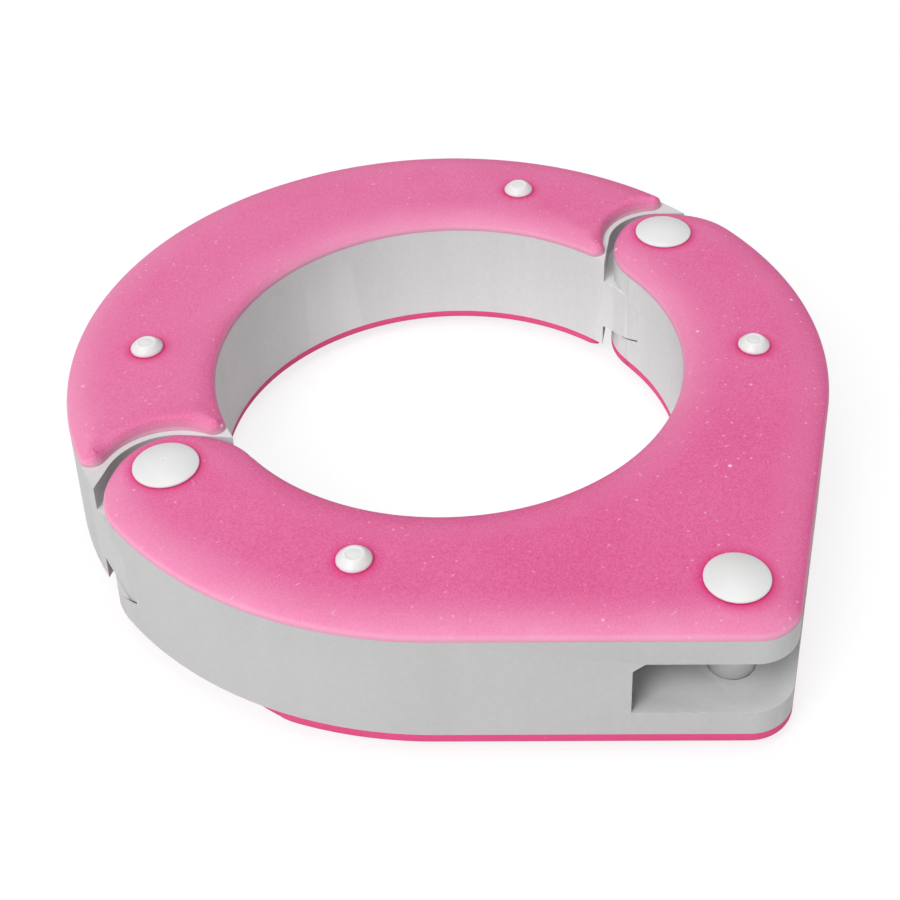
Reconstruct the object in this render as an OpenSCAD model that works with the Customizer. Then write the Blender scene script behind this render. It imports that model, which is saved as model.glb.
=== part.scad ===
// Hinged two-jaw ring collar with a pointed clevis nose.
// Units are millimetres, +Z is up.  The origin is the centre of the closed
// bore, on the ring axis halfway through the thickness; the nose points to
// -Y, the hinge is on -X and the closing pin on +X.

/* [Ring] */
// bore diameter with both jaws closed
bore_d = 80; // [72:0.5:82]
// radius of the front jaw outside, about the ring axis
front_r = 64.5; // [64:0.1:66]
// radius of the back jaw outside
back_r = 63.0; // [62:0.1:64]
// how far the back jaw outside centre sits behind the ring axis
back_shift = 3.0; // [2:0.1:4]
// height of the rigid cores
core_h = 19.0; // [18:0.5:24]
// thickness of each facing
facing_t = 2.4; // [1.8:0.1:3]
// bevel on the outer edge of each facing
facing_bevel = 1.4; // [0.6:0.1:1.6]

/* [Nose] */
// slope of the two straight flanks from the X axis, degrees
flank_angle = 38.6; // [36:0.2:41]
// radius of the rounded nose tip
nose_r = 7.2; // [6:0.1:8]
// distance of the nose pin in front of the ring axis
nose_pin_y = 70; // [68:0.5:71]
// radius of the slot round the nose pin
nose_slot_r = 18.2; // [15:0.1:19]
// height of the nose slot
nose_slot_h = 9.9; // [8:0.1:11]
// chamfer along the roof of the nose slot
nose_slot_chamfer = 1.5; // [0.5:0.1:2]

/* [Joints] */
// half distance between the hinge pin and the closing pin
pin_x = 52.5; // [52:0.1:53]
// how far the two pins sit behind the ring axis
pin_y = 3.5; // [3:0.1:4]
// radius of the round ear ends of the front jaw
ear_r = 12.2; // [12:0.05:12.2]
// radius of the cut in the back jaw round each ear
cut_r = 10.3; // [10.1:0.05:10.6]
// slope of the straight end of that cut towards the bore, degrees
cut_in_slope = 43; // [41:1:45]
// slope of the straight end of that cut towards the outside, degrees
cut_out_slope = 38; // [36:1:40]
// height of the two tongues
tongue_h = 10.4; // [9:0.1:10.8]
// core height left under the tongues
under_h = 4.3; // [3.8:0.05:4.6]
// radius of the tongue ends about their pins
tongue_r = 14.5; // [13.6:0.1:14.6]
// how much the faces of the tongues taper towards their ends
tongue_taper = 1.8; // [1:0.1:2.2]
// radius of the fork slots about their pins
fork_r = 14.8; // [14.7:0.1:15.2]
// swing of the back jaw shown, degrees
swing = 0; // [0:1:30]
// turn of the closing pin shown, degrees
turn = 0; // [0:5:90]

/* [Fasteners] */
// shank diameter of the three big pins
post_d = 7.3; // [6:0.1:7.4]
// head diameter of the three big pins
head_d = 10.0; // [9:0.1:11]
// head height of the three big pins
head_h = 1.4; // [1:0.1:2]
// width of the closing pin across its two flats
flat_w = 4.6; // [3.6:0.1:5]
// thread diameter of the three screws
screw_d = 4.0; // [3:0.1:4.2]
// shank diameter of the four rivets
rivet_d = 3.0; // [2.5:0.1:3.4]
// head diameter of the four rivets
rivet_head_d = 5.5; // [4.6:0.1:6.2]
// head height of the four rivets
rivet_head_h = 1.5; // [1:0.1:1.8]

/* [Hidden] */

$fn = 64;
ring_facets = 120;
mouth_facets = 240;
dome_facets = 72;
small_facets = 36;

fit = 0.05;         // radial clearance of holes
ease = 0.02;        // how far straight sides and roundings sit inside the arcs they meet
over = 1;           // how far cutters run past the faces they cut
tongue_gap = 0.05;  // clearance above and below each tongue

// levels
core_top = core_h / 2;
core_bottom = -core_top;
stack_top = core_top + facing_t;
stack_h = 2 * stack_top;
slot_bottom = core_bottom + under_h;
tongue_bottom = slot_bottom + tongue_gap;
tongue_thick = tongue_h - 2 * tongue_gap;

// places, as [x, y]; the rivets and ears are repeated on the other side
hinge_pin = [-pin_x, pin_y];
closing_pin = [pin_x, pin_y];
nose_pin = [0, -nose_pin_y];
bore_r = bore_d / 2;
ear = [(front_r + bore_r) / 2, -1.2];
front_rivet = [41, -32.2];
back_rivet = [40.5, 32.5];
back_centre = [0, back_shift];
nose_centre = [0, -(front_r - nose_r) / cos(flank_angle)];

// straight flank on +X: its outward normal and its two ends
flank_out = heading(flank_angle - 90);
flank_back = (front_r - ease) * flank_out;
flank_front = nose_centre + (nose_r - ease) * flank_out;

// point where the outline of a tongue meets the back jaw outside
horn_y = 9.4;
horn_x = sqrt(pow(back_r, 2) - pow(horn_y - back_shift, 2));

taper_run = 2.0;     // radial length of the tongue taper
facing_back = 1.1;   // how far the back facings stand back from the ear cuts
outer_round = 2.2;   // back facing corners, at the outside
inner_round = 1.8;   // back facing corners, at the bore

post_r = post_d / 2;
hole_r = post_r + fit;
rivet_hole_r = rivet_d / 2 + fit;
mouth_half = flat_w / 2 + 0.15;
closing_lift = 0.05; // play of the closing pin heads off each face

front_col = [0.83, 0.83, 0.83];
pink = [0.90, 0.42, 0.62];
head_col = [0.93, 0.93, 0.93];

// ---- helpers -------------------------------------------------------------

function heading(angle) = [cos(angle), sin(angle)];
function unit(v) = v / norm(v);
function mirror_x(point) = [-point.x, point.y];

// angle at the first of two centres, of a point at distances near and far from them
function corner_turn(near, far, apart) =
    acos((near * near + apart * apart - far * far) / (2 * near * apart));

module at(point, z = 0) translate([point.x, point.y, z]) children();

// the children at a point and at its partner across the YZ plane
module pair(point, z = 0) {
    at(point, z) children();
    at(mirror_x(point), z) children();
}

// the children and their mirror image
module both_sides() for (m = [0, 1]) mirror([m, 0, 0]) children();

// disc with its upper edge bevelled
module bevelled_disc(radius, h, bevel = 0) {
    cylinder(r = radius, h = h - bevel);
    if (bevel > 0)
        translate([0, 0, h - bevel]) cylinder(r1 = radius, r2 = radius - bevel, h = bevel);
}

// cutter for a hole through a plate, with its upper edge bevelled
module hole(radius, h, bevel = 0) {
    translate([0, 0, -over]) cylinder(r = radius, h = h + 2 * over);
    if (bevel > 0)
        translate([0, 0, h - bevel])
            cylinder(r1 = radius, r2 = radius + bevel + over, h = bevel + over);
}

module bore(h, bevel = 0) hole(bore_r, h, bevel, $fn = ring_facets);

// block that covers everything in front of y
module front_block(y, h) {
    reach = 100;
    translate([-reach, -reach, -over]) cube([2 * reach, reach + y, h + 2 * over]);
}

// disc whose two faces taper towards its rim
module tapered_disc(radius, h) {
    rim_r = radius - taper_run;
    cylinder(r1 = rim_r, r2 = radius, h = tongue_taper);
    translate([0, 0, tongue_taper]) cylinder(r = radius, h = h - 2 * tongue_taper);
    translate([0, 0, h - tongue_taper]) cylinder(r1 = radius, r2 = rim_r, h = tongue_taper);
}

// ---- front jaw shapes ----------------------------------------------------

// cutter that bevels the flank on +X, run past both its ends
module flank_bevel(h, bevel) {
    end_run = 5;
    outside = 4;
    low = h - bevel - over;
    at(flank_back) rotate([0, 0, flank_angle - 90]) translate([0, end_run, 0])
        rotate([90, 0, 0])
            linear_extrude(height = 2 * end_run - nose_centre.y * sin(flank_angle))
                polygon([[-bevel - over, h + over], [over, low],
                         [outside, low], [outside, h + over]]);
}

// full front outline as a plate
module teardrop(h, bevel) {
    bevelled_disc(front_r, h, bevel, $fn = ring_facets);
    at(nose_centre) bevelled_disc(nose_r, h, bevel);
    difference() {
        linear_extrude(height = h)
            polygon([flank_back, flank_front, nose_centre,
                     mirror_x(flank_front), mirror_x(flank_back), [0, 0]]);
        if (bevel > 0) both_sides() flank_bevel(h, bevel + 2 * ease);
    }
}

// front outline with the two round ears and the bore
module front_plate(h, bevel = 0) {
    difference() {
        union() {
            intersection() {
                teardrop(h, bevel);
                front_block(ear.y, h);
            }
            pair(ear) bevelled_disc(ear_r, h, bevel);
        }
        bore(h, bevel);
    }
}

module front_holes(h) {
    pair(closing_pin) hole(hole_r, h);
    pair(front_rivet) hole(rivet_hole_r, h, $fn = small_facets);
    at(nose_pin) hole(hole_r, h);
}

module front_facing() {
    difference() {
        front_plate(facing_t, facing_bevel);
        front_holes(facing_t);
    }
}

// ---- back jaw shapes -----------------------------------------------------

module back_holes(h) pair(back_rivet) hole(rivet_hole_r, h, $fn = small_facets);

// back half of the ring, behind the pins
module half_ring(h, bevel = 0) {
    difference() {
        at(back_centre) bevelled_disc(back_r, h, bevel, $fn = ring_facets);
        bore(h, bevel);
        front_block(pin_y, h);
    }
}

// cutter round the +X ear: an arc about the pin that runs out into two straight ends
module ear_cut(h) {
    in_angle = 90 + cut_in_slope;
    out_angle = 90 - cut_out_slope;
    // the straight ends start just inside the arc
    start_r = cut_r - 0.03;
    in_start = closing_pin + start_r * heading(in_angle);
    out_start = closing_pin + start_r * heading(out_angle);
    in_end = in_start + 14 * heading(in_angle + 90);
    out_end = out_start + 11 * heading(out_angle - 90);
    // the rest of the outline lies in space already cut away
    at(closing_pin) cylinder(r = cut_r, h = h);
    linear_extrude(height = h)
        polygon([in_start, in_end, in_end - [0, 12],
                 closing_pin + [16, -12], out_end, out_start]);
}

// back jaw plate, cut round the ears at both ends
module back_plate(h) {
    difference() {
        half_ring(h);
        both_sides() translate([0, 0, -over]) ear_cut(h + 2 * over);
    }
}

// the +X tongue, round about its pin and flush with the jaw walls
module tongue() {
    side_x = front_r - 0.35;
    inner_x = 30;
    front_y = -16;
    back_y = 24;
    difference() {
        intersection() {
            at(closing_pin) tapered_disc(tongue_r, tongue_thick);
            linear_extrude(height = tongue_thick)
                polygon([[horn_x, horn_y], [side_x, -4], [side_x, front_y],
                         [inner_x, front_y], [inner_x, back_y],
                         [horn_x - 3, back_y], [horn_x - 1, 12]]);
        }
        bore(tongue_thick);
    }
}

// cutter for the mouth of the closing eye: a band about the hinge, in front of the pin
module closing_mouth() {
    h = tongue_h + 2 * over;
    box = [16, 20, h];
    intersection() {
        at(hinge_pin, slot_bottom - over) difference() {
            cylinder(r = 2 * pin_x + mouth_half, h = h, $fn = mouth_facets);
            hole(2 * pin_x - mouth_half, h, $fn = mouth_facets);
        }
        at(closing_pin - [box.x / 2, box.y], slot_bottom - over) cube(box);
    }
}

// sector outside a rounding centred on middle, between two directions
module corner_block(middle, first, second) {
    side = 11;
    diagonal = 14;
    translate([0, 0, -over]) linear_extrude(height = facing_t + 2 * over)
        polygon([middle, middle + side * first,
                 middle + diagonal * (first + second), middle + side * second]);
}

module corner_post(middle, radius)
    at(middle) bevelled_disc(radius - ease, facing_t, facing_bevel, $fn = small_facets);

// one back facing: set back from the cut, with all four corners rounded
module back_facing() {
    facing_cut_r = cut_r + facing_back;
    // centre of the rounding where the cut meets the outside
    outer_r = back_r - outer_round;
    to_pin = closing_pin - back_centre;
    outer_turn = corner_turn(outer_r, facing_cut_r + outer_round, norm(to_pin))
        + atan2(to_pin.y, to_pin.x);
    outer = back_centre + outer_r * heading(outer_turn);
    // centre of the rounding where the cut meets the bore
    inner_r = bore_r + inner_round;
    inner_turn = corner_turn(inner_r, facing_cut_r + inner_round, norm(closing_pin))
        + atan2(pin_y, pin_x);
    inner = inner_r * heading(inner_turn);
    difference() {
        union() {
            difference() {
                half_ring(facing_t, facing_bevel);
                both_sides() {
                    at(closing_pin) hole(facing_cut_r, facing_t, facing_bevel);
                    corner_block(outer, unit(outer - back_centre), unit(closing_pin - outer));
                    corner_block(inner, unit(-inner), unit(closing_pin - inner));
                }
            }
            both_sides() {
                corner_post(outer, outer_round);
                corner_post(inner, inner_round);
            }
        }
        back_holes(facing_t);
    }
}

// ---- fasteners -----------------------------------------------------------
// each stands with the bottom of the stack at z = 0

// low domed head of the big pins, its flat side at z = 0
module big_head() {
    radius = head_d / 2;
    dome_h = head_h - 0.35; // above a straight rim
    dome_r = (radius * radius + dome_h * dome_h) / (2 * dome_h);
    intersection() {
        cylinder(r = radius, h = head_h + over);
        translate([0, 0, head_h - dome_r]) sphere(r = dome_r, $fn = dome_facets);
    }
}

// headed post, tapped from below for its screw; lift moves its ends off the faces
module post(flats = false, lift = 0) {
    tap_depth = 10;
    head_overlap = 0.2;
    flat_cut = 10;    // side of the block that cuts each flat
    flat_over = 0.1;  // flats run this far past the slot
    difference() {
        union() {
            translate([0, 0, -lift]) cylinder(r = post_r, h = stack_h + 2 * lift + head_overlap);
            translate([0, 0, stack_h + lift]) big_head();
        }
        translate([0, 0, -lift - over])
            cylinder(r = screw_d / 2 + fit, h = tap_depth + over, $fn = small_facets);
        if (flats)
            both_sides()
                translate([flat_w / 2, -flat_cut / 2, slot_bottom + stack_top - flat_over])
                    cube([flat_cut, flat_cut, tongue_h + 2 * flat_over]);
    }
}

// slotted screw that closes a post from below
module screw(lift = 0) {
    length = 9;
    head_overlap = 0.1;
    slot_w = 1.2;
    slot_depth = 0.7;
    difference() {
        union() {
            translate([0, 0, -lift]) mirror([0, 0, 1]) big_head();
            translate([0, 0, -lift - head_overlap])
                cylinder(r = screw_d / 2, h = length + head_overlap, $fn = small_facets);
        }
        translate([-head_d, -slot_w / 2, -lift - head_h - over])
            cube([2 * head_d, slot_w, slot_depth + over]);
    }
}

// small rivet head: a low cone with a flat top on a straight rim
module rivet_head() {
    radius = rivet_head_d / 2;
    rim = 0.4;
    cylinder(r = radius, h = rim, $fn = small_facets);
    translate([0, 0, rim])
        cylinder(r1 = radius, r2 = radius * 0.55, h = rivet_head_h - rim, $fn = small_facets);
}

module rivet() {
    overlap = 0.01;
    translate([0, 0, -overlap])
        cylinder(r = rivet_d / 2, h = stack_h + 2 * overlap, $fn = small_facets);
    translate([0, 0, stack_h]) rivet_head();
    mirror([0, 0, 1]) rivet_head();
}

// ---- nodes ---------------------------------------------------------------

module front_body() color(front_col) difference() {
    translate([0, 0, core_bottom]) front_plate(core_h);
    pair(closing_pin, slot_bottom) tapered_disc(fork_r, tongue_h);
    at(nose_pin, -nose_slot_h / 2) bevelled_disc(nose_slot_r, nose_slot_h, nose_slot_chamfer);
    translate([0, 0, core_bottom]) front_holes(core_h);
}

module back_body() color(front_col) difference() {
    union() {
        translate([0, 0, core_bottom]) back_plate(core_h);
        // uncut band at tongue height, which joins the tongues to the jaw
        translate([0, 0, tongue_bottom]) half_ring(tongue_thick);
        translate([0, 0, tongue_bottom]) both_sides() tongue();
    }
    // eyes of the hinge and of the closing pin
    pair(closing_pin, core_bottom) cylinder(r = hole_r, h = core_h);
    closing_mouth();
    translate([0, 0, core_bottom]) back_holes(core_h);
}

// a facing on the upper or the lower face of the core
module on_top() translate([0, 0, core_top]) children();
module on_bottom() translate([0, 0, core_bottom]) mirror([0, 0, 1]) children();

module front_top_facing() color(pink) on_top() front_facing();
module front_bottom_facing() color(pink) on_bottom() front_facing();
module back_top_facing() color(pink) on_top() back_facing();
module back_bottom_facing() color(pink) on_bottom() back_facing();

module hinge_post() color(head_col) at(hinge_pin, -stack_top) post();
module hinge_screw() color(head_col) at(hinge_pin, -stack_top) screw();
module closing_post() color(head_col)
    at(closing_pin, -stack_top) rotate([0, 0, turn]) post(true, closing_lift);
module closing_screw() color(head_col)
    at(closing_pin, -stack_top) rotate([0, 0, turn]) screw(closing_lift);
module nose_post() color(head_col) at(nose_pin, -stack_top) post();
module nose_screw() color(head_col) at(nose_pin, -stack_top) screw();

module front_rivets() color(head_col) pair(front_rivet, -stack_top) rivet();
module back_rivets() color(head_col) pair(back_rivet, -stack_top) rivet();

// the back jaw and what it carries, swung about the hinge pin
module swung() at(hinge_pin) rotate([0, 0, swing]) at(-hinge_pin) children();

front_body();
swung() back_body();
front_top_facing();
front_bottom_facing();
swung() back_top_facing();
swung() back_bottom_facing();
hinge_post();
hinge_screw();
closing_post();
closing_screw();
nose_post();
nose_screw();
front_rivets();
swung() back_rivets();
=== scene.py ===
import math

import bpy
import numpy as np
from mathutils import Matrix, Vector
from mathutils.geometry import delaunay_2d_cdt


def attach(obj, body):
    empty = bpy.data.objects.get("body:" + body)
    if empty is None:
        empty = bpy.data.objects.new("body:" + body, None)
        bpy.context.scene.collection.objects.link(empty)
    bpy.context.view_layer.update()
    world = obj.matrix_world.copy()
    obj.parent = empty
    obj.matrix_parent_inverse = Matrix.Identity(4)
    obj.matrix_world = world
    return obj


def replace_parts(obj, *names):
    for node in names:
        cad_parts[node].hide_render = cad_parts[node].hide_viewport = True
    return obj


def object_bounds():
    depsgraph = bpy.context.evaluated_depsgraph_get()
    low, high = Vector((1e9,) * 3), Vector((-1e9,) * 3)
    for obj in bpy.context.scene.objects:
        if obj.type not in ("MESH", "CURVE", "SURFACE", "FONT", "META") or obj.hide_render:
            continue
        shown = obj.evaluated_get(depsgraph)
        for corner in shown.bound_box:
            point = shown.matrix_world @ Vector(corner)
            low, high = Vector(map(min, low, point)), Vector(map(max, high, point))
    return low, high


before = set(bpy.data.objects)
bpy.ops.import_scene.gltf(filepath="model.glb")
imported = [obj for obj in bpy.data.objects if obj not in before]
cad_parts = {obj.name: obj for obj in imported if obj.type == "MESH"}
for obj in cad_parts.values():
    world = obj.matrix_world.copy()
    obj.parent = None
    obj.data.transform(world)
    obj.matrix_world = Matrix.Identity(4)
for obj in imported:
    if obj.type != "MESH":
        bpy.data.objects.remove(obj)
BOX0 = [list(v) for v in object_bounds()]

MM = 0.001

# ---------------------------------------------------------------- dimensions
# all in millimetres, the same values as the CAD
BORE = 40.0
FRONT_R = 64.5
BACK_R = 63.0
BACK_C = (0.0, 3.0)
FLANK = math.radians(38.6)
NOSE_R = 7.2
NOSE_C = (0.0, -(FRONT_R - NOSE_R) / math.cos(FLANK))
EAR_R = 12.2
EAR_X = (FRONT_R + BORE) / 2
EAR_Y = -1.2
PIN = (52.5, 3.5)
CUT_R = 11.4
OUTER_ROUND = 2.2
INNER_ROUND = 1.8
CORE_H = 19.0
FACE_T = 2.4
ZC = CORE_H / 2
ZT = ZC + FACE_T
NOSE_PIN_Y = -70.0
FLAT_X = 2.3
FRONT_RIVETS = ((-41.0, -32.2), (41.0, -32.2))
BACK_RIVETS = ((-40.5, 32.5), (40.5, 32.5))


# ------------------------------------------------------------------ geometry
def arc(out, c, r, a0, a1, sign, step=1.1):
    """Points on a circle with the outward normal of the plate: sign +1 if the
    material is inside the circle, -1 if it is outside."""
    n = max(6, int(abs(math.radians(a1 - a0)) * r / step))
    if r < 8:
        n = max(n, 16)
    for i in range(n + 1):
        a = math.radians(a0 + (a1 - a0) * i / n)
        u = (math.cos(a), math.sin(a))
        out.append(((c[0] + r * u[0], c[1] + r * u[1]), (sign * u[0], sign * u[1])))


def tidy(pts):
    keep = []
    for p in pts:
        if not keep or math.hypot(p[0][0] - keep[-1][0][0], p[0][1] - keep[-1][0][1]) > 0.02:
            keep.append(p)
    if math.hypot(keep[0][0][0] - keep[-1][0][0], keep[0][0][1] - keep[-1][0][1]) < 0.02:
        keep.pop()
    # straight runs get points of their own, so that the rim can vary along them
    full = []
    for i, p in enumerate(keep):
        q = keep[(i + 1) % len(keep)]
        full.append(p)
        d = math.hypot(q[0][0] - p[0][0], q[0][1] - p[0][1])
        m = int(d / 1.3)
        for k in range(1, m):
            t = k / m
            full.append(((p[0][0] + (q[0][0] - p[0][0]) * t, p[0][1] + (q[0][1] - p[0][1]) * t), p[1]))
    return full


def front_outline():
    o = []
    tan_in = math.degrees(math.asin(-EAR_Y / BORE))
    tan_out = math.degrees(math.asin(-EAR_Y / FRONT_R))
    fl = math.degrees(FLANK)
    arc(o, (EAR_X, EAR_Y), EAR_R, 0, 180, 1)
    arc(o, (0, 0), BORE, -tan_in, -180 + tan_in, -1)
    arc(o, (-EAR_X, EAR_Y), EAR_R, 0, 180, 1)
    arc(o, (0, 0), FRONT_R, 180 + tan_out, 270 - fl, 1)
    arc(o, NOSE_C, NOSE_R, 270 - fl, 270 + fl, 1, step=0.5)
    arc(o, (0, 0), FRONT_R, 270 + fl, 360 - tan_out, 1)
    return tidy(o)


def turn(a, b, d):
    return math.degrees(math.acos((a * a + d * d - b * b) / (2 * a * d)))


def ang(v):
    return math.degrees(math.atan2(v[1], v[0]))


def back_outline():
    d = math.hypot(PIN[0] - BACK_C[0], PIN[1] - BACK_C[1])
    ao = turn(BACK_R - OUTER_ROUND, CUT_R + OUTER_ROUND, d) + ang((PIN[0], PIN[1] - BACK_C[1]))
    fo = (BACK_C[0] + (BACK_R - OUTER_ROUND) * math.cos(math.radians(ao)),
          BACK_C[1] + (BACK_R - OUTER_ROUND) * math.sin(math.radians(ao)))
    ai = turn(BORE + INNER_ROUND, CUT_R + INNER_ROUND, math.hypot(*PIN)) + ang(PIN)
    fi = ((BORE + INNER_ROUND) * math.cos(math.radians(ai)), (BORE + INNER_ROUND) * math.sin(math.radians(ai)))
    po = ang((fo[0] - PIN[0], fo[1] - PIN[1]))
    pi = ang((fi[0] - PIN[0], fi[1] - PIN[1]))
    o = []
    arc(o, BACK_C, BACK_R, ao, 180 - ao, 1)
    arc(o, (-fo[0], fo[1]), OUTER_ROUND, 180 - ao, 360 - po, 1, step=0.3)
    arc(o, (-PIN[0], PIN[1]), CUT_R, 180 - po, 180 - pi, -1, step=0.7)
    arc(o, (-fi[0], fi[1]), INNER_ROUND, 360 - pi, 540 - 180 - ai, 1, step=0.3)
    arc(o, (0, 0), BORE, 180 - ai, ai, -1)
    arc(o, fi, INNER_ROUND, 180 + ai, 180 + pi, 1, step=0.3)
    arc(o, PIN, CUT_R, pi, po, -1, step=0.7)
    arc(o, fo, OUTER_ROUND, 180 + po, 360 + ao, 1, step=0.3)
    return tidy(o)


def wave(x, y, k):
    """Slow smooth variation, the same each run."""
    return (math.sin(0.173 * x + 0.111 * y + k) + math.sin(-0.087 * x + 0.203 * y + 2.1 * k)
            + 0.6 * math.sin(0.41 * x - 0.37 * y + 3.3 * k)) / 2.6


def link(name, verts, faces, mats, body):
    me = bpy.data.meshes.new(name)
    me.from_pydata([(x * MM, y * MM, z * MM) for x, y, z in verts], [], faces)
    me.validate()
    me.update()
    ob = bpy.data.objects.new(name, me)
    bpy.context.scene.collection.objects.link(ob)
    for m in mats:
        me.materials.append(m)
    me.polygons.foreach_set("use_smooth", [True] * len(me.polygons))
    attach(ob, body)
    return ob


INSETS = (0.02, 0.06, 0.12, 0.20, 0.31, 0.45, 0.65, 0.92, 1.3, 1.8, 2.5, 3.4, 4.6, 6.3)
FADE = 6.6
HEADS = ((-PIN[0], PIN[1]), PIN, (0.0, NOSE_PIN_Y))


def outline_distance(pts, line):
    """Distance of each point to a closed outline, and the nearest segment."""
    a = np.array([p for p, _ in line])
    b = np.roll(a, -1, axis=0)
    ab = b - a
    q = np.asarray(pts)[:, None, :] - a[None]
    t = np.clip((q * ab).sum(-1) / (ab * ab).sum(-1), 0, 1)
    d = np.linalg.norm(q - ab[None] * t[..., None], axis=-1)
    return d.min(1), d.argmin(1)


def inside(pts, line):
    a = np.array([p for p, _ in line])
    b = np.roll(a, -1, axis=0)
    x, y = np.asarray(pts)[:, 0][:, None], np.asarray(pts)[:, 1][:, None]
    cross = ((a[:, 1] > y) != (b[:, 1] > y)) & (
        x < (b[:, 0] - a[:, 0]) * (y - a[:, 1]) / (b[:, 1] - a[:, 1] + 1e-12) + a[:, 0])
    return cross.sum(1) % 2 == 1


def along_ring(line):
    """1 where an edge follows the ring, 0 where it ends a jaw."""
    w = []
    for p, n in line:
        r = math.hypot(*p)
        c = abs(p[0] * n[0] + p[1] * n[1]) / r
        t = min(1.0, max(0.0, (c - 0.40) / 0.5))
        w.append(t * t * (3 - 2 * t))
    w = np.array(w)
    for _ in range(10):
        w = (np.roll(w, 1) + 2 * w + np.roll(w, -1)) / 4
    return w


def plate(name, line, z_in, z_out, crown, mats, body, k):
    """A facing: flat in the middle, falling in a quarter ellipse to its
    edges, wide along the ring and tight at the ends. z_in lies on the core."""
    up = 1 if z_out > z_in else -1
    t = abs(z_out - z_in)
    n = len(line)
    ring = along_ring(line)
    pts = [p for p, _ in line]
    for ins in INSETS:
        step = max(1, int(ins * 1.1))
        cand = [(p[0] - m[0] * ins, p[1] - m[1] * ins) for p, m in line[::step]]
        d, _ = outline_distance(cand, line)
        pts += [c for c, ok in zip(cand, (d > 0.985 * ins) & inside(cand, line)) if ok]
    grid = [(gx * 1.9 + (gy % 2) * 0.95, gy * 1.65) for gx in range(-36, 37) for gy in range(-52, 44)]
    d, _ = outline_distance(grid, line)
    pts += [c for c, ok in zip(grid, (d > 7.2) & inside(grid, line)) if ok]
    cv, _, cf, ov, _, _ = delaunay_2d_cdt([Vector(p) for p in pts], [], [list(range(n))], 1, 1e-6)
    xy = np.array([(v.x, v.y) for v in cv])
    d, near = outline_distance(xy, line)
    w = ring[near]
    u = np.clip(d / (FADE * w + 1.4 * (1 - w)), 0, 1)
    deep = np.ones(len(xy))
    # heads need flat ground under them
    for c in HEADS:
        h = np.clip((np.hypot(xy[:, 0] - c[0], xy[:, 1] - c[1]) - 4.8) / 4.0, 0, 1)
        deep = deep * (0.25 + 0.75 * h * h * (3 - 2 * h))
    fall = (0.06 + crown * deep) * (1 - np.sqrt(np.clip(1 - (1 - u) ** 2, 0, 1)))
    v = np.clip(d / 0.45, 0, 1)
    roll = 0.26 * (1 - np.sqrt(np.clip(1 - (1 - v) ** 2, 0, 1)))
    z = t - fall - roll
    z = z + np.array([0.03 * wave(x, y, k) - 0.03 for x, y in xy]) * np.clip(d / 3, 0, 1)
    verts = [(x, y, z_in + up * h) for (x, y), h in zip(xy, z)]
    edge = list(d)
    # output index of each outline point
    back = {}
    for i, src in enumerate(ov):
        for j in src:
            if j < n and j not in back:
                back[j] = i
    rim = [back[i] for i in range(n)]
    faces = [tuple(f) if up > 0 else tuple(f)[::-1] for f in cf]
    rings = []
    for ins, h in ((0.10, 0.0), (0.03, 0.04), (0.0, 0.10)):
        r = []
        for i, (p, m) in enumerate(line):
            r.append(len(verts))
            top = abs(verts[rim[i]][2] - z_in)
            verts.append((p[0] - m[0] * ins, p[1] - m[1] * ins, z_in + up * min(h, 0.7 * top)))
            edge.append(0.0)
        rings.append(r)
    rings.append(rim)
    for a, b in zip(rings, rings[1:]):
        for i in range(n):
            j = (i + 1) % n
            f = (a[i], a[j], b[j], b[i])
            faces.append(f if up > 0 else f[::-1])
    base = tuple(reversed(rings[0]))
    faces.append(base if up > 0 else base[::-1])
    ob = link(name, verts, faces, mats, body)
    if len(ob.data.vertices) == len(verts):
        at = ob.data.attributes.new("edge", "FLOAT", "POINT")
        at.data.foreach_set("value", [min(e, 20.0) for e in edge])
        wt = ob.data.attributes.new("ring", "FLOAT", "POINT")
        wt.data.foreach_set("value", list(w) + [float(ring[i % n]) for i in range(len(verts) - len(w))])
    return ob


def tucked(line, x0, run, y_max=99.0):
    """A lower facing's outline, drawn in under the outer wall on the hinge
    side, where it doesn't show from above."""
    out = []
    for p, n in line:
        t = min(1.0, max(0.0, (x0 - p[0]) / run))
        a = 1.7 * t * t * (3 - 2 * t) if p[0] * n[0] + p[1] * n[1] > 0 and p[1] < y_max else 0.0
        out.append(((p[0] - n[0] * a, p[1] - n[1] * a), n))
    return out


def lathe(name, profile, centre, mats, body, seg=72, turned=0.0, flats=()):
    """A closed solid of revolution about +Z. profile runs from the axis at the
    bottom to the axis at the top, as (radius, z)."""
    verts, faces, rings = [], [], []
    for row, (r, z) in enumerate(profile):
        if r < 1e-6:
            rings.append([len(verts)])
            verts.append((centre[0], centre[1], z))
        else:
            ring = []
            for i in range(seg):
                a = 2 * math.pi * i / seg + turned
                ring.append(len(verts))
                x = r * math.cos(a)
                if row in flats:
                    x = max(-FLAT_X, min(FLAT_X, x))
                verts.append((centre[0] + x, centre[1] + r * math.sin(a), z))
            rings.append(ring)
    for a, b in zip(rings, rings[1:]):
        for i in range(seg):
            j = (i + 1) % seg
            if len(a) == 1 and len(b) == 1:
                continue
            if len(a) == 1:
                faces.append((a[0], b[j], b[i]))
            elif len(b) == 1:
                faces.append((a[i], a[j], b[0]))
            else:
                faces.append((a[i], a[j], b[j], b[i]))
    return link(name, verts, faces, mats, body)


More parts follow.
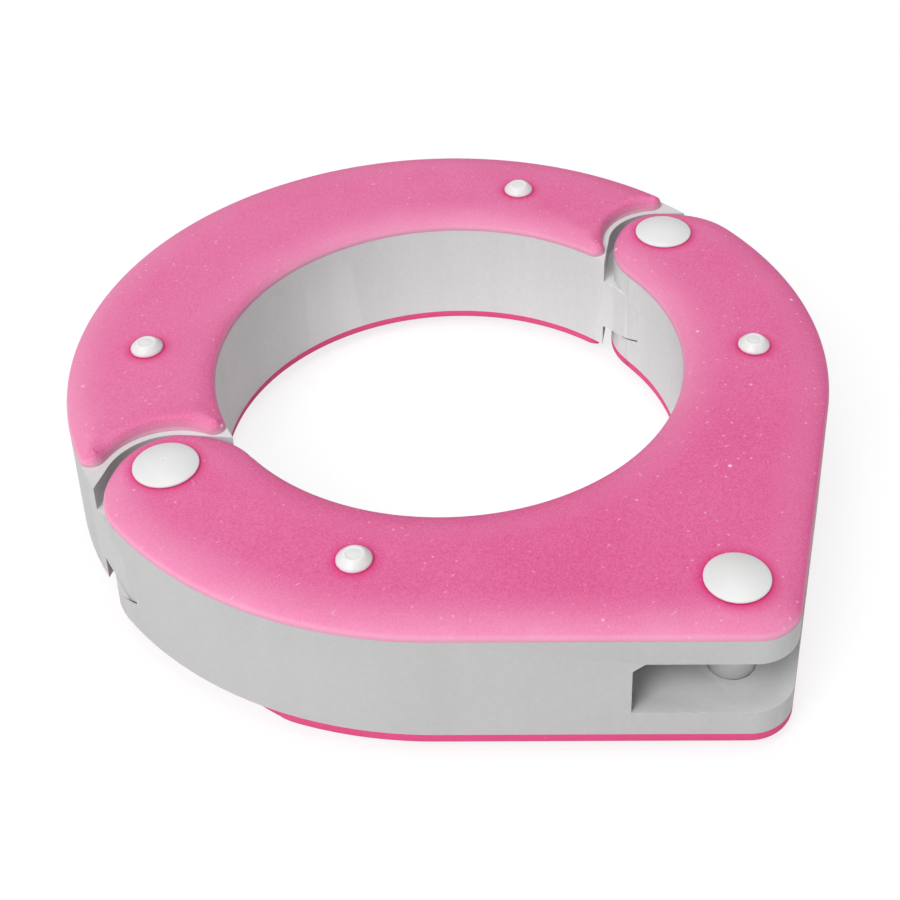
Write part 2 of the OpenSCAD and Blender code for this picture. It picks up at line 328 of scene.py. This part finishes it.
def head_profile(z0, up, r=5.0, h=1.4, rim=0.38, edge=0.22, n=12):
    """Half section of a low domed head on the plane z0, from the under edge in
    to the axis."""
    d = h - rim
    rs = (r * r + d * d) / (2 * d)
    pts = [(r - 0.30, z0 - up * 0.12), (r - 0.12, z0), (r - 0.03, z0 + up * 0.05), (r, z0 + up * 0.12)]
    a1 = math.asin((r - edge) / rs)
    for i in range(4):
        b = math.pi / 2 * (i / 3) * 0.82
        pts.append((r - edge * (1 - math.cos(b)), z0 + up * (rim - edge * 0.75 + edge * math.sin(b))))
    for i in range(n + 1):
        a = a1 * (1 - i / n) * 0.985
        pts.append((rs * math.sin(a) if i < n else 0.0, z0 + up * (h - rs + rs * math.cos(a))))
    return pts


# ----------------------------------------------------------------- materials
class Nodes:
    def __init__(self, name):
        self.m = bpy.data.materials.new(name)
        self.m.use_nodes = True
        self.t = self.m.node_tree
        self.t.nodes.clear()
        self.out = self.new("ShaderNodeOutputMaterial")
        self.b = self.new("ShaderNodeBsdfPrincipled")
        self.t.links.new(self.b.outputs[0], self.out.inputs[0])
        self.co = self.new("ShaderNodeTexCoord").outputs["Object"]
        self.geo = self.new("ShaderNodeNewGeometry")

    def new(self, kind, **kw):
        n = self.t.nodes.new(kind)
        for k, v in kw.items():
            setattr(n, k, v)
        return n

    def put(self, socket, value):
        if isinstance(value, bpy.types.NodeSocket):
            self.t.links.new(value, socket)
        else:
            socket.default_value = value

    def noise(self, scale, detail=3.0, rough=0.55, distortion=0.0, co=None):
        n = self.new("ShaderNodeTexNoise")
        self.put(n.inputs["Vector"], co or self.co)
        n.inputs["Scale"].default_value = scale
        n.inputs["Detail"].default_value = detail
        n.inputs["Roughness"].default_value = rough
        n.inputs["Distortion"].default_value = distortion
        return n.outputs["Fac"] if "Fac" in n.outputs else n.outputs[0]

    def ramp(self, fac, stops):
        r = self.new("ShaderNodeValToRGB")
        self.put(r.inputs[0], fac)
        els = r.color_ramp.elements
        while len(els) < len(stops):
            els.new(0.5)
        for e, (p, c) in zip(els, stops):
            e.position = p
            e.color = c if len(c) == 4 else (*c, 1.0)
        return r.outputs[0]

    def math(self, op, a, b=0.0, clamp=False):
        n = self.new("ShaderNodeMath", operation=op)
        n.use_clamp = clamp
        self.put(n.inputs[0], a)
        self.put(n.inputs[1], b)
        return n.outputs[0]

    def mix(self, fac, a, b, mode="MIX"):
        n = self.new("ShaderNodeMix", data_type="RGBA", blend_type=mode)
        self.put(n.inputs[0], fac)
        self.put(n.inputs[6], a if isinstance(a, bpy.types.NodeSocket) else (*a, 1.0)[:4])
        self.put(n.inputs[7], b if isinstance(b, bpy.types.NodeSocket) else (*b, 1.0)[:4])
        return n.outputs[2]

    def bump(self, height, strength, distance, normal=None):
        n = self.new("ShaderNodeBump")
        self.put(n.inputs["Height"], height)
        n.inputs["Strength"].default_value = strength
        n.inputs["Distance"].default_value = distance
        if normal is not None:
            self.put(n.inputs["Normal"], normal)
        return n.outputs[0]

    def specks(self, scale, low, high, seed=0.0):
        """Sparse dots, 1 at their centres."""
        mp = self.new("ShaderNodeMapping")
        self.put(mp.inputs[0], self.co)
        mp.inputs["Location"].default_value = (seed, seed * 0.7, seed * 1.3)
        v = self.new("ShaderNodeTexVoronoi", feature="F1")
        self.put(v.inputs["Vector"], mp.outputs[0])
        v.inputs["Scale"].default_value = scale
        dot = self.ramp(v.outputs["Distance"], [(low, (1, 1, 1)), (high, (0, 0, 0))])
        sep = self.new("ShaderNodeSeparateColor")
        self.put(sep.inputs[0], v.outputs["Color"])
        return dot, sep.outputs[0]

    def axis(self, i, low, high):
        """0 to 1 along one axis of the part, metres."""
        s = self.new("ShaderNodeSeparateXYZ")
        self.put(s.inputs[0], self.co)
        t = self.math("DIVIDE", self.math("SUBTRACT", s.outputs[i], low), high - low, clamp=True)
        return t

    def radius(self):
        """Distance from the ring's axis, metres."""
        x = self.new("ShaderNodeSeparateXYZ")
        self.put(x.inputs[0], self.co)
        a = self.math("MULTIPLY", x.outputs[0], x.outputs[0])
        return self.math("SQRT", self.math("ADD", a, self.math("MULTIPLY", x.outputs[1], x.outputs[1])))

    def lean(self, way):
        """How far the form leans one way, -1 to 1."""
        d = self.new("ShaderNodeVectorMath", operation="DOT_PRODUCT")
        self.put(d.inputs[0], self.geo.outputs["Normal"])
        d.inputs[1].default_value = way
        return d.outputs["Value"]

    def gap_to(self, rounds):
        """Distance in plan to the nearest of some circles, metres."""
        best = 1.0
        s = self.new("ShaderNodeSeparateXYZ")
        self.put(s.inputs[0], self.co)
        for (x, y), r in rounds:
            dx = self.math("SUBTRACT", s.outputs[0], x * MM)
            dy = self.math("SUBTRACT", s.outputs[1], y * MM)
            d = self.math("SQRT", self.math("ADD", self.math("MULTIPLY", dx, dx), self.math("MULTIPLY", dy, dy)))
            best = self.math("MINIMUM", self.math("SUBTRACT", d, r * MM), best)
        return self.math("MAXIMUM", best, 0.0)

    def facing_up(self):
        """1 where the surface lies flat, 0 on its rims and sides."""
        s = self.new("ShaderNodeSeparateXYZ")
        self.put(s.inputs[0], self.geo.outputs["Normal"])
        return self.math("ABSOLUTE", s.outputs[2])


def lin(*c):
    return tuple((x / 255 / 12.92) if x / 255 <= 0.04045 else ((x / 255 + 0.055) / 1.055) ** 2.4 for x in c)


def pink_material(name, under=False):
    n = Nodes(name)
    ao = n.new("ShaderNodeAmbientOcclusion", samples=12)
    ao.inputs["Distance"].default_value = 0.0022
    shade = n.ramp(ao.outputs["AO"], [(0.45, (1, 1, 1)), (0.95, (0, 0, 0))])
    edge = n.new("ShaderNodeAttribute", attribute_name="edge").outputs["Fac"]
    ring = n.new("ShaderNodeAttribute", attribute_name="ring").outputs["Fac"]
    mottle = n.noise(34, 5, 0.62)
    if under:
        # painted shade: the lower facings take a darker, deeper pink, as they face down into shade
        base = n.ramp(mottle, [(0.30, lin(214, 24, 108)), (0.7, lin(226, 36, 120))])
        sheen_pink = lin(232, 80, 148)
    else:
        # painted light: the top facings are painted paler toward the back (+y)
        front = n.ramp(mottle, [(0.28, lin(219, 80, 140)), (0.50, lin(222, 90, 148)), (0.74, lin(224, 101, 156))])
        rear = n.ramp(mottle, [(0.28, lin(226, 107, 158)), (0.50, lin(230, 119, 168)), (0.74, lin(232, 130, 176))])
        base = n.mix(n.axis(1, -0.055, 0.065), front, rear)
        sheen_pink = lin(236, 160, 193)
    grain = n.noise(3400, 2, 0.6)
    fine = n.noise(1900, 3, 0.7)
    col = n.mix(0.04 if under else 0.10, base, n.ramp(fine, [(0.30, lin(202, 66, 128)), (0.70, lin(238, 142, 180))]))
    col = n.mix(0.05 if under else 0.24, col, n.ramp(grain, [(0.35, lin(198, 62, 124)), (0.65, lin(242, 152, 188))]))
    # painted highlight: edges along the ring are painted paler where they lean toward the key light, unevenly so
    near = n.math("SUBTRACT", 1.0, n.math("DIVIDE", edge, 7.6), clamp=True)
    near = n.math("POWER", near, 0.95)
    uneven = n.ramp(n.noise(120, 3, 0.6), [(0.3, (0.70,) * 3), (0.7, (1.0,) * 3)])
    lean = n.math("ADD", n.math("MULTIPLY", n.lean((-0.94, -0.34, 0)), 3.2), 0.55, clamp=True)
    painted_sheen = n.math("MULTIPLY", n.math("MULTIPLY", n.math("MULTIPLY", near, ring), uneven), lean)
    col = n.mix(n.math("MULTIPLY", painted_sheen, 0.10 if under else 0.60), col, sheen_pink)
    # painted highlight: a thin pale line on the very rim of every edge
    line = n.ramp(n.math("ABSOLUTE", n.math("SUBTRACT", edge, 0.10)), [(0.0, (1, 1, 1)), (0.34, (0, 0, 0))])
    col = n.mix(n.math("MULTIPLY", line, 0.12 if under else 0.40), col, lin(242, 184, 208))
    # painted highlight: the cut ends carry a narrow pale rim
    cut_end_highlight = n.math("SUBTRACT", 1.0, n.math("DIVIDE", edge, 0.07), clamp=True)
    cut_end_highlight = n.math("MULTIPLY", n.math("MULTIPLY", cut_end_highlight, n.math("SUBTRACT", 1.0, ring)), uneven)
    col = n.mix(n.math("MULTIPLY", cut_end_highlight, 0.10 if under else 0.85), col, lin(246, 196, 216))
    # pale flecks in drifts, two sizes
    drift = n.ramp(n.noise(46, 3, 0.55), [(0.42, (0.30,) * 3), (0.60, (1, 1, 1))])
    dot, pick = n.specks(620, 0.08, 0.17, 0.31)
    fleck = n.math("MULTIPLY", n.math("MULTIPLY", dot, n.math("GREATER_THAN", pick, 0.52)), drift)
    dot2, pick2 = n.specks(300, 0.06, 0.12, 0.77)
    fleck2 = n.math("MULTIPLY", n.math("MULTIPLY", dot2, n.math("GREATER_THAN", pick2, 0.86)), drift)
    col = n.mix(n.math("MULTIPLY", fleck, 0.10 if under else 0.62), col, lin(246, 190, 212))
    col = n.mix(n.math("MULTIPLY", fleck2, 0.10 if under else 0.90), col, lin(251, 218, 231))
    # short pale nicks
    nick = 0.0
    for turn_deg, seed in ((31, 0.0), (-48, 0.21), (82, 0.43)):
        mp = n.new("ShaderNodeMapping")
        n.put(mp.inputs[0], n.co)
        mp.inputs["Location"].default_value = (seed, seed, 0)
        mp.inputs["Rotation"].default_value = (0, 0, math.radians(turn_deg))
        mp.inputs["Scale"].default_value = (1, 4.2, 1)
        v = n.new("ShaderNodeTexVoronoi", feature="F1")
        n.put(v.inputs["Vector"], mp.outputs[0])
        v.inputs["Scale"].default_value = 190
        s2 = n.new("ShaderNodeSeparateColor")
        n.put(s2.inputs[0], v.outputs["Color"])
        one = n.math("MULTIPLY", n.ramp(v.outputs["Distance"], [(0.04, (1, 1, 1)), (0.11, (0, 0, 0))]),
                     n.math("GREATER_THAN", s2.outputs[1], 0.89))
        nick = n.math("MAXIMUM", one, nick)
    col = n.mix(n.math("MULTIPLY", nick, 0.10 if under else 0.60), col, lin(247, 196, 216))
    # painted shade: the tone deepens where a head or a rim stands over the sheet and shades it
    inner = n.math("DIVIDE", n.math("SUBTRACT", edge, 1.2), 1.0, clamp=True)
    col = n.mix(n.math("MULTIPLY", n.math("MULTIPLY", shade, inner), 0.80), col, lin(202, 18, 104))
    # and a painted shadow, a darker ring round each head and rivet
    gap = n.gap_to(HEAD_SHADOW_RINGS)
    head_shadow = n.math("POWER", n.math("SUBTRACT", 1.0, n.math("DIVIDE", gap, 0.0024), clamp=True), 2.2)
    col = n.mix(n.math("MULTIPLY", head_shadow, 0.72), col, lin(206, 22, 108))
    n.put(n.b.inputs["Base Color"], col)
    n.put(n.b.inputs["Roughness"], n.ramp(n.noise(160, 3, 0.6), [(0.3, (0.52,) * 3), (0.7, (0.66,) * 3)]))
    n.b.inputs["Specular IOR Level"].default_value = 0.30
    nb = n.bump(grain, 0.14, 0.00015)
    nb = n.bump(fine, 0.08, 0.0003, nb)
    nb = n.bump(n.noise(90, 3, 0.55), 0.06, 0.0006, nb)
    marks = n.math("MAXIMUM", nick, n.math("MAXIMUM", fleck, fleck2))
    n.put(n.b.inputs["Normal"], n.bump(marks, 0.35, 0.00012, nb))
    return n.m


def core_material():
    n = Nodes("core_plastic")
    base = n.ramp(n.noise(24, 3, 0.5), [(0.30, lin(193, 193, 193)), (0.7, lin(201, 201, 201))])
    col = n.mix(0.25, base, n.ramp(n.noise(1100, 3, 0.7), [(0.3, lin(184, 184, 184)), (0.7, lin(208, 208, 208))]))
    # painted highlight: a touch paler on convex edges
    edge = n.ramp(n.geo.outputs["Pointiness"], [(0.50, (0, 0, 0)), (0.56, (1, 1, 1))])
    col = n.mix(n.math("MULTIPLY", edge, 0.30), col, lin(226, 226, 226))
    # faint flow marks down the walls
    mp = n.new("ShaderNodeMapping")
    n.put(mp.inputs[0], n.co)
    mp.inputs["Scale"].default_value = (1, 1, 0.12)
    flow = n.ramp(n.noise(210, 2, 0.5, co=mp.outputs[0]), [(0.35, (0.94,) * 3), (0.65, (1.0,) * 3)])
    col = n.mix(0.35, col, n.mix(1.0, col, flow, "MULTIPLY"))
    # painted light and shade: inner walls and faces painted lighter, outer walls darker, outer flat faces in between
    out = n.math("DIVIDE", n.math("SUBTRACT", n.radius(), 0.043), 0.010, clamp=True)
    out = n.math("MULTIPLY", out, n.math("SUBTRACT", 1.0, n.math("MULTIPLY", n.facing_up(), 0.6)))
    col = n.mix(1.0, col, n.mix(out, (1.17,) * 3, (0.90,) * 3), "MULTIPLY")
    n.put(n.b.inputs["Base Color"], col)
    n.put(n.b.inputs["Roughness"], n.ramp(n.noise(120, 3, 0.6), [(0.3, (0.44,) * 3), (0.7, (0.58,) * 3)]))
    n.b.inputs["Specular IOR Level"].default_value = 0.38
    nb = n.bump(n.noise(1500, 2, 0.6), 0.10, 0.00012)
    n.put(n.b.inputs["Normal"], n.bump(n.noise(60, 3, 0.5), 0.12, 0.0005, nb))
    return n.m


def head_material(name, tone, seed):
    n = Nodes(name)
    base = n.ramp(n.noise(70 + seed * 9, 3, 0.55), [(0.3, lin(tone - 8, tone - 8, tone - 9)), (0.7, lin(tone, tone, tone))])
    dot, pick = n.specks(700, 0.08, 0.16, 0.13 * seed)
    speck = n.math("MULTIPLY", dot, n.math("GREATER_THAN", pick, 0.93))
    col = n.mix(n.math("MULTIPLY", speck, 0.35), base, lin(176, 176, 176))
    # painted highlight: convex rims painted paler
    edge = n.ramp(n.geo.outputs["Pointiness"], [(0.50, (0, 0, 0)), (0.57, (1, 1, 1))])
    col = n.mix(n.math("MULTIPLY", edge, 0.5), col, lin(244, 244, 244))
    n.put(n.b.inputs["Base Color"], col)
    n.put(n.b.inputs["Roughness"], n.ramp(n.noise(260, 3, 0.6), [(0.3, (0.30,) * 3), (0.7, (0.46,) * 3)]))
    n.b.inputs["Specular IOR Level"].default_value = 0.45
    nb = n.bump(n.noise(800, 2, 0.6), 0.10, 0.0001)
    n.put(n.b.inputs["Normal"], n.bump(n.noise(150, 2, 0.5), 0.10, 0.0003, nb))
    return n.m


# painted shadow rings round the heads and rivets: centre and radius, mm
HEAD_SHADOW_RINGS = [(c, 5.1) for c in HEADS] + [(c, 2.75) for c in list(FRONT_RIVETS) + list(BACK_RIVETS)]
PINK = pink_material("facing_pink")
# the lower facings' pink is a copy with painted shade
PINK_SHADED_UNDER = pink_material("facing_pink_shaded_under", True)
CORE = core_material()
HEAD = head_material("pin_head_white", 230, 1)
RIVET = head_material("rivet_white", 230, 2)


# -------------------------------------------------------------- CAD cores
def dress(node, mat, width, angle=32):
    """A CAD solid keeps its shape; its edges are eased and its material set."""
    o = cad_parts[node]
    o.data.materials.clear()
    o.data.materials.append(mat)
    o.data.polygons.foreach_set("material_index", [0] * len(o.data.polygons))
    o.data.polygons.foreach_set("use_smooth", [True] * len(o.data.polygons))
    w = o.modifiers.new("weld", "WELD")
    w.merge_threshold = 2e-6
    d = o.modifiers.new("planar", "DECIMATE")
    d.decimate_type = "DISSOLVE"
    d.angle_limit = math.radians(0.6)
    b = o.modifiers.new("eased", "BEVEL")
    b.width = width * MM
    b.segments = 3
    b.limit_method = "ANGLE"
    b.angle_limit = math.radians(angle)
    b.harden_normals = False
    b.use_clamp_overlap = True
    b.miter_outer = "MITER_ARC"
    wn = o.modifiers.new("normals", "WEIGHTED_NORMAL")
    wn.mode = "FACE_AREA_WITH_ANGLE"
    wn.weight = 80
    wn.keep_sharp = True
    return o


dress("front_body", CORE, 0.35)
dress("back_body", CORE, 0.35)
for node in ("hinge_screw", "closing_screw", "nose_screw"):
    dress(node, HEAD, 0.12, 28)

# ------------------------------------------------------------- facings
FO, BO = front_outline(), back_outline()
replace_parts(plate("front_top_facing_rolled", FO, ZC, ZT, 1.85, [PINK], "front_jaw", 0.4), "front_top_facing")
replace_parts(plate("front_bottom_facing_rolled", tucked(FO, -54.5, 6.0, 3.0), -ZC, -ZT, 0.9, [PINK_SHADED_UNDER], "front_jaw", 1.7), "front_bottom_facing")
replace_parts(plate("back_top_facing_rolled", BO, ZC, ZT, 1.85, [PINK], "back_jaw", 2.9), "back_top_facing")
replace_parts(plate("back_bottom_facing_rolled", tucked(BO, -46.0, 8.0), -ZC, -ZT, 1.2, [PINK_SHADED_UNDER], "back_jaw", 4.2), "back_bottom_facing")


# ------------------------------------------------------------- pins and rivets
def post(name, centre, body, node, tick=False, radius=5.0):
    z0 = -ZT
    prof = [(0.0, z0 + 0.02), (3.3, z0 + 0.02), (3.65, z0 + 0.3), (3.65, ZT - 0.25), (4.4, ZT - 0.25)]
    prof += head_profile(ZT, 1, radius)
    if tick:
        prof = prof[:-1] + [(0.24, ZT + 1.398), (0.17, ZT + 1.36), (0.10, ZT + 1.32), (0.0, ZT + 1.31)]
    ob = lathe(name, prof, centre, [HEAD], body)
    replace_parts(ob, node)
    return ob


post("hinge_post_turned", (-PIN[0], PIN[1]), "front_jaw", "hinge_post", True, 5.2)
post("nose_post_turned", (0.0, NOSE_PIN_Y), "front_jaw", "nose_post")


def closing_post():
    """The closing pin: two flats where the tongue grips it."""
    z0 = -ZT
    prof = [(0.0, z0 + 0.02), (3.3, z0 + 0.02), (3.65, z0 + 0.3), (3.65, -5.25), (3.65, -5.2), (3.65, 5.2),
            (3.65, 5.25), (3.65, ZT - 0.25), (4.4, ZT - 0.25)] + head_profile(ZT, 1, 5.2)
    ob = lathe("closing_post_turned", prof, PIN, [HEAD], "closing_pin", flats=(4, 5))
    for f in ob.data.polygons:
        if abs(f.center.z) < 5.25 * MM:
            f.use_smooth = False
    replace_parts(ob, "closing_post")


closing_post()


def rivet_profile():
    top = [(1.5, ZT), (2.60, ZT), (2.72, ZT + 0.06), (2.75, ZT + 0.20), (2.70, ZT + 0.42), (2.52, ZT + 0.66),
           (2.05, ZT + 1.10), (1.78, ZT + 1.34), (1.60, ZT + 1.45), (1.35, ZT + 1.48), (1.22, ZT + 1.46),
           (1.12, ZT + 1.40), (1.00, ZT + 1.42), (0.6, ZT + 1.48), (0.0, ZT + 1.50)]
    return [(r, -z) for r, z in reversed(top)] + top


def rivets(name, centres, body, node):
    obs = [lathe(name + "_" + str(i), rivet_profile(), c, [RIVET], body, 48) for i, c in enumerate(centres)]
    for o in obs:
        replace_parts(o, node)


rivets("front_rivet_turned", FRONT_RIVETS, "front_jaw", "front_rivets")
rivets("back_rivet_turned", BACK_RIVETS, "back_jaw", "back_rivets")

# ------------------------------------------------------------------- stage
FLOOR_Z = BOX0[0][2] - 0.00002


FLOOR_GLOW = 0.77


def floor():
    me = bpy.data.meshes.new("floor")
    s = 6.0
    me.from_pydata([(-s, -s, FLOOR_Z), (s, -s, FLOOR_Z), (s, s, FLOOR_Z), (-s, s, FLOOR_Z)], [], [(0, 1, 2, 3)])
    ob = bpy.data.objects.new("floor", me)
    bpy.context.scene.collection.objects.link(ob)
    n = Nodes("floor_paper")
    col = n.ramp(n.noise(3, 2, 0.5), [(0.3, (0.925,) * 3), (0.7, (0.935,) * 3)])
    n.put(n.b.inputs["Base Color"], col)
    n.b.inputs["Roughness"].default_value = 0.9
    n.b.inputs["Specular IOR Level"].default_value = 0.1
    glow = n.new("ShaderNodeEmission")
    glow.inputs["Strength"].default_value = 1.05
    path = n.new("ShaderNodeLightPath")
    both = n.new("ShaderNodeMixShader")
    n.put(both.inputs[0], n.math("MULTIPLY", path.outputs["Is Camera Ray"], FLOOR_GLOW))
    n.put(both.inputs[1], n.b.outputs[0])
    n.put(both.inputs[2], glow.outputs[0])
    # seen from below the sweep is clear, so the underside can be looked at
    clear = n.new("ShaderNodeBsdfTransparent")
    side = n.new("ShaderNodeMixShader")
    n.put(side.inputs[0], n.geo.outputs["Backfacing"])
    n.put(side.inputs[1], both.outputs[0])
    n.put(side.inputs[2], clear.outputs[0])
    n.put(n.out.inputs["Surface"], side.outputs[0])
    me.materials.append(n.m)
    return ob


floor()

world = bpy.data.worlds.new("studio")
bpy.context.scene.world = world
world.use_nodes = True
bg = world.node_tree.nodes["Background"]
bg.inputs[0].default_value = (1.0, 1.0, 1.0, 1.0)
bg.inputs[1].default_value = 0.26
sky = world.node_tree.nodes.new("ShaderNodeBackground")
sky.inputs[0].default_value = (1.0, 1.0, 1.0, 1.0)
seen = world.node_tree.nodes.new("ShaderNodeLightPath")
pick = world.node_tree.nodes.new("ShaderNodeMixShader")
world.node_tree.links.new(seen.outputs["Is Camera Ray"], pick.inputs[0])
world.node_tree.links.new(bg.outputs[0], pick.inputs[1])
world.node_tree.links.new(sky.outputs[0], pick.inputs[2])
world.node_tree.links.new(pick.outputs[0], world.node_tree.nodes["World Output"].inputs["Surface"])


def area(name, loc, target, size, power, colour=(1, 1, 1)):
    d = bpy.data.lights.new(name, "AREA")
    d.shape = "DISK"
    d.size = size
    d.energy = power
    d.color = colour
    o = bpy.data.objects.new(name, d)
    bpy.context.scene.collection.objects.link(o)
    o.location = loc
    o.rotation_mode = "QUATERNION"
    o.rotation_quaternion = (Vector(target) - Vector(loc)).to_track_quat("-Z", "Y")
    return o


# camera axes, in the part frame
CAM_LOC = Vector((-134.798, -192.353, 191.267)) * MM
CAM_R = Vector((0.779286, -0.626668, -0.001384))
CAM_U = Vector((0.329093, 0.407359, 0.851914))
CAM_F = Vector((0.533303, 0.664339, -0.523681))
LEFT = -CAM_R
TOWARD = Vector((-CAM_F.x, -CAM_F.y, 0)).normalized()

KEY = Vector((-0.94, -0.34, 0)).normalized()
area("key", KEY * 1.25 + Vector((0, 0, 1.25)), (0, 0, 0), 0.9, 19.5)
area("overhead", (0, 0, 1.6), (0, 0, 0), 1.2, 10.0)

# ------------------------------------------------------------------- camera
cam = bpy.data.cameras.new("camera")
cam.sensor_fit = "HORIZONTAL"
cam.sensor_width = 36.0
cam.lens = 68.518
cam.clip_start, cam.clip_end = 0.01, 50
co = bpy.data.objects.new("camera", cam)
bpy.context.scene.collection.objects.link(co)
m = Matrix.Identity(4)
for i in range(3):
    m[i][0], m[i][1], m[i][2], m[i][3] = CAM_R[i], CAM_U[i], -CAM_F[i], CAM_LOC[i]
co.matrix_world = m
bpy.context.scene.camera = co

# the view is off-centre only from this one spot; any other view is centred
for prop, value in (("shift_x", -0.098916), ("shift_y", -0.308494)):
    setattr(cam, prop, value)
    drv = cam.driver_add(prop).driver
    drv.type = "SCRIPTED"
    for axis in "XYZ":
        var = drv.variables.new()
        var.name = axis.lower()
        var.type = "TRANSFORMS"
        var.targets[0].id = co
        var.targets[0].transform_type = "LOC_" + axis
        var.targets[0].transform_space = "WORLD_SPACE"
    drv.expression = "%.6f if abs(x - %.6f) + abs(y - %.6f) + abs(z - %.6f) < 0.0005 else 0.0" % (
        value, CAM_LOC.x, CAM_LOC.y, CAM_LOC.z)

bpy.context.scene.view_settings.view_transform = "Standard"
bpy.context.scene.view_settings.look = "None"
